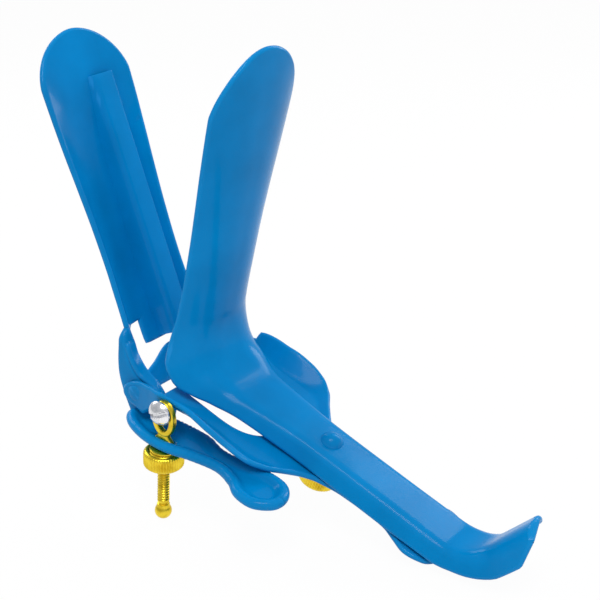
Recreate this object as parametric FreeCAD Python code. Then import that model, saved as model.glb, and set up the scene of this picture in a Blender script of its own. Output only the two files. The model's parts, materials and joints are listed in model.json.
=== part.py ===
import FreeCAD, Part
import math
import os

# Bivalve vaginal speculum, medium, with a smoke channel on the upper blade.
# Working frame: X across the instrument, origin near the hinge line,
# Y toward the upper blade, Z along the lower blade to its tip.
# Every node is turned by body_tilt about X and shifted by rest_shift at the end,
# so that the yoke's end and the side screw stand on the floor. Millimetres.

V = FreeCAD.Vector
X_AXIS = V(1, 0, 0)
ORIGIN = V(0, 0, 0)

# Sheet and blades
sheet = 1.6
blade_length = 101.7
tip_half_width = 17.1
tip_round = 20.5
lower_edge_y = -1.5
upper_edge_y = 7.1
opening = 35.5

# Bend and handle
bend_radius = 17.0
handle_slope = 4.8
end_angle = 90 - handle_slope
handle_top_z = 8.5
hook_radius = 13.0
hook_centre_y = -91.5
hook_turn = 150
hook_straight = 15.6
hook_lip = 11.7
hook_lip_start = 8.0
hook_lip_half = 8.8
hook_end_y = -111.2

# Cut-out of the upper blade and its tongue, which carries the smoke channel
tongue = (-5.2, 10.6)
tongue_end = 8.8
slot_top = 16.4
slot_outer = 9.4
slot_width = 2.8
channel_side = (1.7, 9.4)
channel_front_y = 5.4
channel_wall = 0.8
channel_top = 87.5

# Hinge and pivot places, Y and Z
hinge = (4.5, -4.2)
pivot = (-10.2, 1.6)
ear_x = 16.0
rivet_radius = 1.5
rivet_head_radius = 2.8
rivet_head_height = 1.2
rivet_seat = 19.7
running_fit = 0.05

# Yoke, measured from the handle's top face
yoke_top = -6.2
stem_lean = 0.041
stem_lean_start = -36.0
slide_up = 20.0
slide_down = 3.0

# Handle screw
screw_y = -50.1
screw_radius = 2.0
screw_length = 16.4
screw_head_radius = 3.2
screw_head_height = 2.3
nut_radius = 5.6
nut_height = 4.8
washer_top = -8.0
washer_height = 1.8

# Side screw, its nut and the thumb lever
side_x = -24.6
side_lean = 11.0
side_radius = 1.75
eye_hole = 3.5
eye_outer = 5.2
eye_width = 1.9
side_length = 33.0
side_end_radius = 2.5
lever_top = 10.3
lever_sheet = 1.6
lever_rim = 1.5
side_washer_height = 0.8
side_washer_top = -(lever_top + lever_sheet + 0.1)

# Pivot screw
pivot_radius = 1.2
pivot_head_radius = 3.55
pivot_head_height = 2.0

# Rest position
body_tilt = 18.8
rest_shift = V(5.02, 36.82, 37.11)

# Sections of the blades: distance up the blade, trough depth, half width
blade_rows = [
    (blade_length, 2.0, 17.3),
    (97.0, 3.3, 17.3),
    (91.0, 4.2, 17.25),
    (82.0, 4.7, 17.1),
    (70.0, 4.9, 16.6),
    (58.0, 5.2, 15.8),
    (46.0, 5.7, 15.1),
    (34.0, 6.3, 14.8),
    (26.0, 6.5, 14.95),
]

# Sections of the bend: turn, half width, depth, side wall turn, corner radius
bend_rows = [
    (2, 15.1, 6.5, 46, 17.0),
    (12, 15.8, 7.0, 46, 16.0),
    (24, 17.0, 8.3, 48, 14.5),
    (35, 17.9, 9.6, 50, 14.0),
    (45, 17.8, 9.0, 50, 13.5),
    (56, 16.4, 6.3, 47, 11.5),
    (68, 14.2, 4.6, 45, 8.5),
    (end_angle, 12.2, 3.9, 48, 5.5),
]

# Sections of the handle: Y, half width, depth, side wall turn, corner radius
handle_rows = [
    (-30, 11.2, 4.2, 54, 3.8),
    (-37, 10.3, 4.8, 60, 2.6),
    (-45, 9.5, 5.3, 64, 2.0),
    (-58, 9.3, 5.4, 65, 2.0),
    (-72, 9.3, 5.4, 65, 2.0),
    (-85, 9.3, 5.2, 65, 2.0),
]

# Sections of the hook: turn, half width, depth, side wall turn, corner radius
hook_rows = [
    (end_angle, 9.3, 5.0, 64, 2.0),
    (105, 9.1, 4.9, 66, 2.6),
    (122, 9.0, 5.6, 68, 3.8),
    (138, 8.9, 6.6, 70, 5.2),
    (hook_turn, 8.8, 7.4, 70, 6.4),
]

# Foot of the upper blade: height, rise of the top, half width, depth, side wall turn, radius
base_rows = [
    (18.0, 6.4, 15.4, 6.6, 45, 17.0),
    (12.0, 6.3, 16.1, 7.2, 52, 14.0),
    (7.0, 6.1, 16.8, 8.2, 60, 11.5),
    (2.0, 5.9, 17.3, 9.6, 68, 10.5),
    (-4.2, 5.7, 17.6, 10.8, 74, 10.0),
]

# Ears of the upper blade: Y, Z, corner radius
near_ear = [(13.4, 6.0, 2), (6.0, 5.0, 3), (2.4, 3.3, 2), (-3.4, 0.4, 1.2), (-7.2, -6.0, 2),
            (-7.6, -10.6, 1), (6.6, -14.1, 1.5), (11.0, -6.5, 3), (14.4, 0.0, 3)]
far_ear = [(13.4, 6.0, 2), (6.0, 5.0, 3), (2.4, 3.3, 2), (-3.4, 0.4, 1.5),
           (-2.6, -5.0, 3), (1.5, -10.2, 3.5), (9.6, -9.4, 3.5), (14.4, 0.0, 3)]
ear_foot = [(-7.6, -2.0, 0), (-7.6, -10.6, 1), (6.6, -14.1, 1.5), (11.0, -6.5, 3), (11.0, -2.0, 0)]

# Smoke channel: height and the blade's rise there
channel_rows = [(tongue_end, 6.2), (17.0, 6.4), (26.0, 6.5), (36.0, 6.2), (46.0, 5.7), (58.0, 5.2),
                (70.0, 4.9), (80.0, 4.75), (channel_top, 4.4)]

# Yoke: foot line of the flat sheet, X and Y in the handle's frame, right half
yoke_foot = [(21.4, -6.3), (20.4, -12.0), (18.8, -18.0), (17.9, -25.0), (17.6, -31.0),
             (16.8, -36.0), (14.4, -41.0), (11.4, -47.0), (9.3, -54.0), (8.3, -62.0),
             (8.2, -70.0), (8.8, -76.0), (10.6, -80.5), (12.2, -85.0), (11.2, -90.0),
             (6.6, -93.6), (0.0, -94.8)]

# Outer line of the hinge ears, X and Y
ear_line = [(19.5, 10.0), (19.7, 4.5), (20.9, -1.0), (22.4, -6.0), (22.8, -10.0), (22.7, -14.0)]

# Raised rim of the arms: Y, outer X, rim Z, foot X
rim_rows = [(-9.0, 23.1, 3.6, 22.4), (-14.0, 23.3, 3.5, 20.6), (-19.0, 23.2, 3.3, 18.8),
            (-25.0, 22.7, 2.8, 17.8), (-30.0, 21.7, 1.9, 17.4), (-34.0, 20.2, 0.7, 17.0),
            (-38.0, 17.6, -0.7, 15.6)]

# Side view of the yoke's ears and the window between the arms: corners with radii
ear_profile = [(9.4, -2.2, 2.5), (9.4, -8.6, 3.5), (0.6, -9.2, 3.5), (-4.0, -2.4, 3),
               (-12.6, -1.3, 0), (-12.6, 2.5, 0), (-8.0, 3.3, 3), (3.4, 0.2, 6)]
yoke_window = [(-12.6, 20, 0), (-12.6, -12, 8), (-13.4, -24, 8), (-10.6, -36, 7),
               (10.6, -36, 7), (13.4, -24, 8), (12.6, -12, 8), (12.6, 20, 0)]

# Thumb lever outline: X, and the distance from the side screw along the lever
lever_outline = [(-19.6, 18.0), (-23.8, 14.5), (-26.9, 6.5), (-27.8, -2.0), (-26.3, -10.5),
                 (-25.9, -19.0), (-28.4, -25.5), (-32.0, -30.5), (-33.0, -37.0),
                 (-29.2, -42.4), (-24.0, -42.8), (-19.4, -39.4), (-17.6, -33.0),
                 (-17.8, -25.0), (-17.4, -16.0), (-14.6, -8.0), (-14.0, 4.0), (-15.2, 15.0)]
lever_slot = (-1.6, 3.4)
lever_flange = [(-7.4, -12.0, 0), (-7.4, -5.6, 2), (-0.6, -5.6, 2.5), (0.8, -7.8, 2),
                (6.6, -7.8, 1.5), (6.6, -14.0, 0)]
lever_rivet_places = [(-4.6, -8.4), (3.0, -10.0)]
lever_rivet_radius = 1.2


def polar(angle):
    """Unit vector of a section's outward side, 0 faces -Y and 90 faces +Z."""
    a = math.radians(angle)
    return V(0, -math.cos(a), math.sin(a))


def trough_wire(place, angle, half, depth, turn, radius):
    """Closed section of the sheet: flat top, two corner arcs, two straight sides."""
    out = polar(angle)
    a = math.radians(turn)
    side = (depth - radius * (1 - math.cos(a))) / math.sin(a)
    flat = half - radius * math.sin(a) - side * math.cos(a)

    def at(x, down):
        return place + X_AXIS * x - out * down

    def run(offset, sign):
        r = radius - offset
        points = [at(sign * 0.001, offset), at(sign * flat, offset)]
        for part in (0.5, 1.0):
            b = a * part
            points.append(at(sign * (flat + r * math.sin(b)), radius - r * math.cos(b)))
        last_x = flat + r * math.sin(a) + side * math.cos(a)
        last_down = radius - r * math.cos(a) + side * math.sin(a)
        points.append(at(sign * last_x, last_down))
        return points

    left, right = run(0, -1), run(0, 1)
    in_left, in_right = run(sheet, -1), run(sheet, 1)
    edges = [
        Part.makeLine(left[4], left[3]),
        Part.Arc(left[3], left[2], left[1]).toShape(),
        Part.makeLine(left[1], right[1]),
        Part.Arc(right[1], right[2], right[3]).toShape(),
        Part.makeLine(right[3], right[4]),
        Part.makeLine(right[4], in_right[4]),
        Part.makeLine(in_right[4], in_right[3]),
        Part.Arc(in_right[3], in_right[2], in_right[1]).toShape(),
        Part.makeLine(in_right[1], in_left[1]),
        Part.Arc(in_left[1], in_left[2], in_left[3]).toShape(),
        Part.makeLine(in_left[3], in_left[4]),
        Part.makeLine(in_left[4], left[4]),
    ]
    return Part.Wire(edges)


def trough(stations):
    """Sheet trough lofted through its sections."""
    return Part.makeLoft([trough_wire(*s) for s in stations], True, False)


def arc_turn(half, depth):
    """Turn and radius of a section that is nearly one arc."""
    turn = 2 * math.degrees(math.atan(depth / half)) * 1.03
    a = math.radians(turn)
    radius = 0.93 * min(half / math.sin(a), depth / (1 - math.cos(a)))
    return turn, radius


def rounded(points):
    """Closed wire of straight lines with arc corners; each point is (a, b, radius)."""
    corners = []
    count = len(points)
    for i, (px, py, r) in enumerate(points):
        here = V(px, py, 0)
        before = V(points[i - 1][0], points[i - 1][1], 0) - here
        after = V(points[(i + 1) % count][0], points[(i + 1) % count][1], 0) - here
        before.normalize()
        after.normalize()
        half_angle = before.getAngle(after) / 2
        reach = r / math.tan(half_angle)
        middle = before + after
        middle.normalize()
        bow = here + middle * (r / math.sin(half_angle) - r)
        corners.append((here + before * reach, bow, here + after * reach, r))
    edges = []
    for i, (start, bow, end, r) in enumerate(corners):
        if r > 0:
            edges.append(Part.Arc(start, bow, end).toShape())
        following = corners[(i + 1) % count][0]
        if (following - end).Length > 1e-6:
            edges.append(Part.makeLine(end, following))
    return Part.Wire(edges)


def smooth(points, inset=0):
    """Closed smooth curve through plane points, or one a little inside it."""
    curve = Part.BSplineCurve()
    curve.interpolate(Points=[V(px, py, 0) for px, py in points], PeriodicFlag=True)
    if inset:
        first, last = curve.FirstParameter, curve.LastParameter
        moved = []
        for i in range(48):
            p = first + (last - first) * i / 48
            along = curve.tangent(p)[0]
            moved.append(curve.value(p) + V(-along.y, along.x, 0) * inset)
        curve = Part.BSplineCurve()
        curve.interpolate(Points=moved, PeriodicFlag=True)
    return Part.Wire([curve.toShape()])


def prism(wire, start, height):
    """Solid over a plane wire, from Z=start upward."""
    solid = Part.Face(wire).extrude(V(0, 0, height))
    solid.translate(V(0, 0, start))
    return solid


def side_prism(points, x_start, x_end):
    """Plate across X whose outline is given in Y and Z."""
    flat = prism(rounded(points), 0, x_end - x_start)
    flat.rotate(ORIGIN, V(1, 1, 1), 120)
    flat.translate(V(x_start, 0, 0))
    return flat


def x_rod(y, z, radius, x_start, x_end):
    """Round bar along X."""
    low = min(x_start, x_end)
    return Part.makeCylinder(radius, abs(x_end - x_start), V(low, y, z), X_AXIS)


def dome(radius, height, base, direction):
    """Low dome on a disc, its flat side on the base point."""
    ball = (radius * radius + height * height) / (2 * height)
    sphere = Part.makeSphere(ball, base + direction * (height - ball))
    return sphere.common(Part.makeCylinder(radius, height, base, direction))


def from_handle(shape):
    """Move a shape from the handle's own frame, whose Z=0 is its top face."""
    shape = shape.copy()
    shape.rotate(ORIGIN, X_AXIS, handle_slope)
    shape.translate(V(0, 0, handle_top_z))
    return shape


def from_upper(shape):
    """Move a shape from the closed upper blade's frame to its open place."""
    shape = shape.copy()
    shape.rotate(ORIGIN, X_AXIS, -opening)
    return shape


def from_rod(shape):
    """Move a shape from the side screw's frame, +Z up the screw, origin at the pivot."""
    shape = shape.copy()
    shape.rotate(ORIGIN, X_AXIS, -side_lean)
    shape.translate(V(side_x, pivot[0], pivot[1]))
    return shape


def handle_point(y):
    """Point of the handle's top middle line at a given Y."""
    return V(0, y, handle_top_z + y * math.tan(math.radians(handle_slope)))


def tip_cutter(y_low, y_high):
    """Block with the rounded tip outline removed, cuts the tip to a half ellipse."""
    start = blade_length - tip_round
    block = Part.makeBox(60, y_high - y_low, 40, V(-30, y_low, start))
    ellipse = Part.Ellipse(ORIGIN, tip_round, tip_half_width + 0.1)
    face = Part.Face(Part.Wire([ellipse.toShape()]))
    face.rotate(ORIGIN, V(0, 0, 1), 90)
    oval = face.extrude(V(0, 0, y_high - y_low))
    oval.rotate(ORIGIN, X_AXIS, 90)
    oval.translate(V(0, y_high, start))
    return block.cut(oval)


def lip_cutter():
    """Block that leaves the hook's end as a half ellipse."""
    block = Part.makeBox(60, 20, 40, V(-30, -120, hook_lip_start))
    height = hook_lip
    oval = Part.Face(Part.Wire([Part.Ellipse(ORIGIN, height, hook_lip_half).toShape()]))
    oval.rotate(ORIGIN, V(0, 0, 1), 90)
    bar = oval.extrude(V(0, 0, 30))
    bar.rotate(ORIGIN, X_AXIS, 90)
    bar.translate(V(0, -93, hook_lip_start))
    beyond = Part.makeBox(60, 20, 60, V(-30, hook_end_y - 20, -20))
    return block.cut(bar).fuse(beyond)


def lower_blade_handle():
    slope = math.radians(handle_slope)
    crown_y = lower_edge_y - 6.5
    bend_y = crown_y - bend_radius
    bend_z = handle_top_z + bend_y * math.tan(slope) + bend_radius / math.cos(slope)
    stations = []
    for z, depth, half in blade_rows:
        turn, radius = arc_turn(half, depth)
        stations.append((V(0, lower_edge_y - depth, z), 0, half, depth, turn, radius))
    centre = V(0, bend_y, bend_z)
    for angle, half, depth, turn, radius in bend_rows:
        place = centre - polar(angle) * bend_radius
        stations.append((place, angle, half, depth, turn, radius))
    for y, half, depth, turn, radius in handle_rows:
        stations.append((handle_point(y), end_angle, half, depth, turn, radius))
    hook_z = handle_point(hook_centre_y).z + hook_radius / math.cos(slope)
    hook = V(0, hook_centre_y, hook_z)
    for angle, half, depth, turn, radius in hook_rows:
        place = hook - polar(angle) * hook_radius
        stations.append((place, angle, half, depth, turn, radius))
    for part in (0.25, 0.5, 0.75, 1.0):
        place = hook - polar(hook_turn) * hook_radius
        place -= polar(hook_turn + 90) * hook_straight * part
        stations.append((place, hook_turn, 8.8, 7.4, 70, 6.4 + 0.4 * part))
    body = trough(stations)
    body = body.cut(tip_cutter(-20, 5))
    body = body.cut(lip_cutter())
    hole = Part.makeCylinder(screw_radius, 6, V(0, screw_y, -4))
    return body.cut(from_handle(hole))


def upper_cut_out():
    """Outline of the opening round the tongue, seen along the blade's depth."""
    left, right = tongue
    far_slot = right + slot_width
    return rounded([(-slot_outer, slot_top, 1.6), (-slot_outer, 0.6, 1.2), (4.0, 6.6, 8),
                    (far_slot, 2.4, 1.6), (far_slot, slot_top, 1.2), (right, slot_top, 1.2),
                    (right, tongue_end, 1.2), (left, tongue_end, 1.2), (left, slot_top, 1.6)])


def upper_blade():
    stations = []
    for z, depth, half in blade_rows:
        turn, radius = arc_turn(half, depth)
        stations.append((V(0, upper_edge_y + depth, z), 180, half, depth, turn, radius))
    for z, rise, half, depth, turn, radius in base_rows:
        stations.append((V(0, upper_edge_y + rise, z), 180, half, depth, turn, radius))
    body = trough(stations)
    body = body.cut(tip_cutter(0, 20))
    cutter = prism(upper_cut_out(), 0, 30)
    cutter.rotate(ORIGIN, X_AXIS, 90)
    cutter.translate(V(0, 30, 0))
    body = from_upper(body.cut(cutter))
    for side, outline in ((-1, near_ear), (1, far_ear)):
        low = min(side * ear_x, side * (ear_x + sheet))
        plate = side_prism(outline, low, low + sheet)
        body = body.fuse(plate)
    body = body.removeSplitter()
    bore = x_rod(hinge[0], hinge[1], rivet_radius + running_fit, -30, 30)
    body = body.cut(bore)
    for y, z in lever_rivet_places:
        body = body.cut(x_rod(y, z, lever_rivet_radius, -30, -10))
    return body


def smoke_channel():
    """Thin square tube on the upper blade's inner face, beside the middle line."""
    left, right = channel_side
    def tube(inset, rows_used):
        wires = []
        for z, rise in rows_used:
            top = upper_edge_y + rise - sheet
            low = channel_front_y + inset
            corners = [V(left + inset, low, z), V(right - inset, low, z),
                       V(right - inset, top - inset - 1.6, z), V(left + inset, top - inset - 0.15, z)]
            wires.append(Part.makePolygon(corners + corners[:1]))
        return Part.makeLoft(wires, True, False)

    first, last = channel_rows[0], channel_rows[-1]
    through = [(first[0] - 1, first[1])] + channel_rows[1:-1] + [(last[0] + 1, last[1])]
    return from_upper(tube(0, channel_rows).cut(tube(channel_wall, through)))


def mirrored(shape):
    return shape.mirror(ORIGIN, X_AXIS)


def plate_top(y):
    """Height of the yoke sheet's top face."""
    return handle_point(y).z + yoke_top


def stem_shift(y):
    """Sideways lean of the yoke's stem, which its loose screw slot allows."""
    return max(0.0, stem_lean_start - y) * stem_lean


def yoke_plate():
    """Flat sheet of the arms and the stem, with the window and the screw slot."""
    right = [V(px + stem_shift(py), py, 0) for px, py in yoke_foot]
    left = [V(-px + stem_shift(py), py, 0) for px, py in reversed(yoke_foot)]
    sides = []
    for points in (right, left):
        curve = Part.BSplineCurve()
        curve.interpolate(points)
        sides.append(curve.toShape())
    outline = Part.Wire(sides + [Part.makeLine(left[-1], right[0])])
    plate = prism(outline, yoke_top - sheet, sheet)
    plate = plate.cut(prism(rounded(yoke_window), -20, 40))
    half_slot = screw_radius + 0.3
    front = screw_y + slide_down + half_slot
    back = screw_y - slide_up - half_slot
    round_end = half_slot * 0.98
    slot = rounded([(-half_slot, front, round_end), (half_slot, front, round_end),
                    (half_slot, back, round_end), (-half_slot, back, round_end)])
    return from_handle(plate.cut(prism(slot, -20, 40)))


def yoke_rim():
    """Sloping rim of the right arm, lofted through its sections."""
    wires = []
    for y, out, rim, foot in rim_rows:
        top = plate_top(y)
        low = top - sheet
        inner = min(foot, out - sheet)
        points = [V(out, y, rim), V(out, y, rim - 0.9), V(foot + 0.4, y, low + 0.05),
                  V(inner - 3.0, y, low + 0.05), V(inner - 3.0, y, top - 0.05),
                  V(inner - 0.6, y, top - 0.05), V(out - sheet, y, rim)]
        wires.append(Part.makePolygon(points + points[:1]))
    return Part.makeLoft(wires, True, True)


def yoke_ear():
    """Upright end of the right arm, which holds the hinge rivet."""
    curve = Part.BSplineCurve()
    curve.interpolate([V(px, py, 0) for px, py in ear_line])
    inside = Part.BSplineCurve()
    inside.interpolate([V(px - sheet, py, 0) for px, py in ear_line])
    first, last = V(*ear_line[0], 0), V(*ear_line[-1], 0)
    step = V(-sheet, 0, 0)
    outline = Part.Wire([curve.toShape(), Part.makeLine(last, last + step), inside.toShape(),
                         Part.makeLine(first + step, first)])
    band = prism(outline, -30, 60)
    profile = prism(rounded(ear_profile), 0, 30)
    profile.rotate(ORIGIN, V(1, 1, 1), 120)
    return band.common(profile)


def yoke():
    body = yoke_plate()
    for piece in (yoke_rim(), yoke_ear()):
        body = body.fuse([piece, mirrored(piece)])
    body = body.removeSplitter()
    body = body.cut(x_rod(hinge[0], hinge[1], rivet_radius, -40, 40))
    for side in (-1, 1):
        seat = x_rod(hinge[0], hinge[1], rivet_head_radius, side * rivet_seat, side * 30)
        body = body.cut(seat)
    return body.cut(x_rod(pivot[0], pivot[1], pivot_radius, -40, -10))


def hinge_rivet(side):
    """Rivet through the yoke ear and the upper blade ear, with a low dome outside."""
    shank = x_rod(hinge[0], hinge[1], rivet_radius, side * ear_x, side * rivet_seat)
    base = V(side * rivet_seat, hinge[0], hinge[1])
    return shank.fuse(dome(rivet_head_radius, rivet_head_height, base, V(side, 0, 0)))


def lever_frame(shape):
    """Move a shape from the thumb lever's flat frame; Z=0 is its top face."""
    shape = shape.copy()
    shape.translate(V(0, 0, -lever_top))
    shape.rotate(ORIGIN, X_AXIS, -side_lean)
    shape.translate(V(0, pivot[0], pivot[1]))
    return shape


def thumb_lever():
    blank = prism(smooth(lever_outline), -lever_sheet, lever_sheet + lever_rim)
    dished = blank.cut(prism(smooth(lever_outline, lever_rim), 0, 10))
    low, high = lever_slot
    width = side_radius + 0.55
    corner = width * 0.98
    slot = rounded([(side_x - width, low - width, corner), (side_x + width, low - width, corner),
                    (side_x + width, high + width, corner), (side_x - width, high + width, corner)])
    dish = lever_frame(dished.cut(prism(slot, -10, 20)))
    tab = side_prism(lever_flange, -ear_x, -ear_x + lever_sheet)
    body = dish.fuse(tab).removeSplitter()
    ear_room = side_prism([(-9, -13.6, 0), (-9, -5, 0), (12, -5, 0), (12, -16, 0)],
                          -ear_x - sheet - 0.01, -ear_x)
    body = body.cut(ear_room.common(upper_ear_block()))
    for y, z in lever_rivet_places:
        body = body.cut(x_rod(y, z, lever_rivet_radius, -30, -10))
    return body


def upper_ear_block():
    """The space that the near ear of the upper blade fills."""
    return side_prism(ear_foot, -ear_x - sheet, -ear_x)


def lever_rivet(place):
    """Rivet that holds the lever on the upper blade's near ear, flush at both ends."""
    y, z = place
    return x_rod(y, z, lever_rivet_radius, -ear_x - sheet, -ear_x + lever_sheet)


def pivot_screw():
    """Slotted dome-head screw, riveted in the yoke's near rim."""
    inner = -21.2
    shoulder = side_x - eye_width / 2 - 0.15
    body = x_rod(pivot[0], pivot[1], pivot_radius, shoulder, inner)
    base = V(shoulder, pivot[0], pivot[1])
    head = dome(pivot_head_radius, pivot_head_height, base, X_AXIS * -1)
    slot = Part.makeBox(1.3, 12, 1.1, V(-0.65, -6, -0.55))
    slot.rotate(ORIGIN, X_AXIS, 35)
    slot.translate(V(shoulder - pivot_head_height - 0.05, pivot[0], pivot[1]))
    return body.fuse(head.cut(slot))


def side_screw():
    """Eye screw that hangs on the pivot screw and carries the thumb nut."""
    centre = -(eye_hole - pivot_radius - 0.1)
    eye = Part.makeCylinder(eye_outer, eye_width, V(-eye_width / 2, 0, centre), X_AXIS)
    eye = eye.cut(Part.makeCylinder(eye_hole, 10, V(-5, 0, centre), X_AXIS))
    neck_top = centre - eye_hole - 0.6
    foot = -lever_top + 0.6
    neck = Part.makeBox(eye_width, 3.4, neck_top - foot, V(-eye_width / 2, -1.7, foot))
    base = Part.makeBox(eye_width, 6.6, 1.9, V(-eye_width / 2, -3.3, foot))
    base = base.makeFillet(0.6, [e for e in base.Edges if abs(e.tangentAt(0).x) > 0.9])
    rod = Part.makeCylinder(side_radius, side_length + foot, V(0, 0, -side_length))
    end = Part.makeSphere(side_end_radius, V(0, 0, -side_length))
    body = eye.fuse([neck, base, rod, end]).removeSplitter()
    return from_rod(body)


def ring(outer, bore, top, height):
    """Round washer or nut blank, its axis on Z."""
    blank = Part.makeCylinder(outer, height, V(0, 0, top - height))
    return blank.cut(Part.makeCylinder(bore, height + 2, V(0, 0, top - height - 1)))


def thumb_nut(bore, top):
    """Knurled round nut: a rim with a recess in its top face and chamfered edges."""
    low = top - nut_height
    rim = nut_radius
    profile = [V(bore, 0, top - 0.9), V(3.3, 0, top - 0.9), V(3.7, 0, top), V(rim - 0.5, 0, top),
               V(rim, 0, top - 0.5), V(rim, 0, low + 0.5), V(rim - 0.5, 0, low), V(bore, 0, low)]
    face = Part.Face(Part.makePolygon(profile + profile[:1]))
    return face.revolve(ORIGIN, V(0, 0, 1), 360)


def handle_screw():
    """Coated dome-head screw set in the handle."""
    head = dome(screw_head_radius, screw_head_height, V(0, screw_y, 0.01), V(0, 0, 1))
    shank = Part.makeCylinder(screw_radius, screw_length + 0.5, V(0, screw_y, -screw_length))
    return from_handle(head.fuse(shank))


def handle_washer():
    body = ring(4.6, screw_radius + running_fit, washer_top, washer_height)
    body.translate(V(0, screw_y, 0))
    return from_handle(body)


def handle_nut():
    body = thumb_nut(screw_radius + running_fit, washer_top - washer_height - 0.05)
    body.translate(V(0, screw_y, 0))
    return from_handle(body)


def side_washer():
    return from_rod(ring(4.0, side_radius + running_fit, side_washer_top, side_washer_height))


def side_nut():
    return from_rod(thumb_nut(side_radius + running_fit, side_washer_top - side_washer_height - 0.05))


nodes = {
    "lower_blade_handle": lower_blade_handle,
    "upper_blade": upper_blade,
    "smoke_channel": smoke_channel,
    "yoke": yoke,
    "hinge_rivet_left": lambda: hinge_rivet(-1),
    "hinge_rivet_right": lambda: hinge_rivet(1),
    "thumb_lever": thumb_lever,
    "lever_rivet_front": lambda: lever_rivet(lever_rivet_places[0]),
    "lever_rivet_back": lambda: lever_rivet(lever_rivet_places[1]),
    "pivot_screw": pivot_screw,
    "side_screw": side_screw,
    "side_washer": side_washer,
    "side_nut": side_nut,
    "handle_screw": handle_screw,
    "handle_washer": handle_washer,
    "handle_nut": handle_nut,
}

os.makedirs("parts", exist_ok=True)
for name, build in nodes.items():
    shape = build()
    shape.rotate(ORIGIN, X_AXIS, body_tilt)
    shape.translate(rest_shift)
    shape.exportStep("parts/" + name + ".step")
    box = shape.BoundBox
    print(name, len(shape.Solids), shape.isValid(), round(shape.Volume), len(shape.Faces),
          [round(v, 2) for v in (box.XMin, box.XMax, box.YMin, box.YMax, box.ZMin, box.ZMax)])
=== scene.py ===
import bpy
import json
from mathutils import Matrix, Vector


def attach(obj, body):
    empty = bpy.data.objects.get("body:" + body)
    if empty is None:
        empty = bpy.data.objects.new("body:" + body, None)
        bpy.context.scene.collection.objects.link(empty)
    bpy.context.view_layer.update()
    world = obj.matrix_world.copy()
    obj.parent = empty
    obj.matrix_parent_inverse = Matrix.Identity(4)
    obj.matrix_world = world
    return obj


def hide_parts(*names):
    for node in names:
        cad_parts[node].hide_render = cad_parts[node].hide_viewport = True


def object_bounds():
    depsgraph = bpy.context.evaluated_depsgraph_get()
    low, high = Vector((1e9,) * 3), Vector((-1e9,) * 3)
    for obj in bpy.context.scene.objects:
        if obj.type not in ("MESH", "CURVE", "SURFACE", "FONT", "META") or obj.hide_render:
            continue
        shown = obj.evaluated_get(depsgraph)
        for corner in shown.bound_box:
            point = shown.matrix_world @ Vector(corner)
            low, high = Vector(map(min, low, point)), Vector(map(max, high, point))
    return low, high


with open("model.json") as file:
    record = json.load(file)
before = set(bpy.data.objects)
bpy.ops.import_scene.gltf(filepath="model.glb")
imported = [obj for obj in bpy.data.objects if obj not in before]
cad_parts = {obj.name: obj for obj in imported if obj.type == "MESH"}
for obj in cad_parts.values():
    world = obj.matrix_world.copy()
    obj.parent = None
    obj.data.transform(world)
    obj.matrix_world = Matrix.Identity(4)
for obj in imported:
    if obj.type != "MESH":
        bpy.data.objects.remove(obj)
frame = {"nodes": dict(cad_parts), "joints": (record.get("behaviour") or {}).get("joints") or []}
cad_box = [list(corner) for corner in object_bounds()]

import json
import math

import bmesh
import bpy
import numpy as np
from mathutils import Matrix, Vector

# The instrument's own frame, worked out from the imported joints: X across, Y toward the upper
# blade, Z along the lower blade. Its origin lies near the hinge. Lengths are metres.
MM = 0.001
joints = {j["name"]: j for j in frame["joints"]}
handle_slope = math.radians(4.8)
slide_axis = joints["yoke_slide"]["axis"]
tilt = math.atan2(slide_axis[2], slide_axis[1]) - handle_slope
tilt_cos, tilt_sin = math.cos(tilt), math.sin(tilt)
hinge_place = np.array(joints["blade_hinge"]["pos_m"])
hinge_y, hinge_z = 4.5 * MM, -4.2 * MM
origin = hinge_place - np.array([
    0.0,
    hinge_y * tilt_cos - hinge_z * tilt_sin,
    hinge_y * tilt_sin + hinge_z * tilt_cos,
])
nodes = frame["nodes"]


def to_row(points):
    """Points of the instrument's frame, millimetres, in the row's frame: one turn about X and one
    shift."""
    points = np.asarray(points, dtype=float) * MM
    x, y, z = points[..., 0], points[..., 1], points[..., 2]
    turned = np.stack([x, y * tilt_cos - z * tilt_sin, y * tilt_sin + z * tilt_cos], axis=-1)
    return turned + origin


def turn_x(points, degrees, shift=(0.0, 0.0, 0.0)):
    """Points turned about X by an angle, then shifted."""
    a = math.radians(degrees)
    x, y, z = points[..., 0], points[..., 1], points[..., 2]
    new_y = y * math.cos(a) - z * math.sin(a)
    new_z = y * math.sin(a) + z * math.cos(a)
    return np.stack([x, new_y, new_z], axis=-1) + np.array(shift)


# Materials


def node_maker(material):
    """Node tree of a new material with its surface shader, and a function that adds a node."""
    material.use_nodes = True
    tree = material.node_tree
    shader = tree.nodes["Principled BSDF"]

    def add(kind, **values):
        node = tree.nodes.new(kind)
        for key, value in values.items():
            if hasattr(node, key):
                setattr(node, key, value)
            else:
                node.inputs[key.replace("_", " ")].default_value = value
        return node

    return tree, shader, add


def ramp(add, stops):
    """Colour ramp with the given places and colours."""
    node = add("ShaderNodeValToRGB")
    elements = node.color_ramp.elements
    elements[0].position, elements[0].color = stops[0]
    elements[1].position, elements[1].color = stops[-1]
    for place, colour in stops[1:-1]:
        elements.new(place).color = colour
    return node


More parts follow.
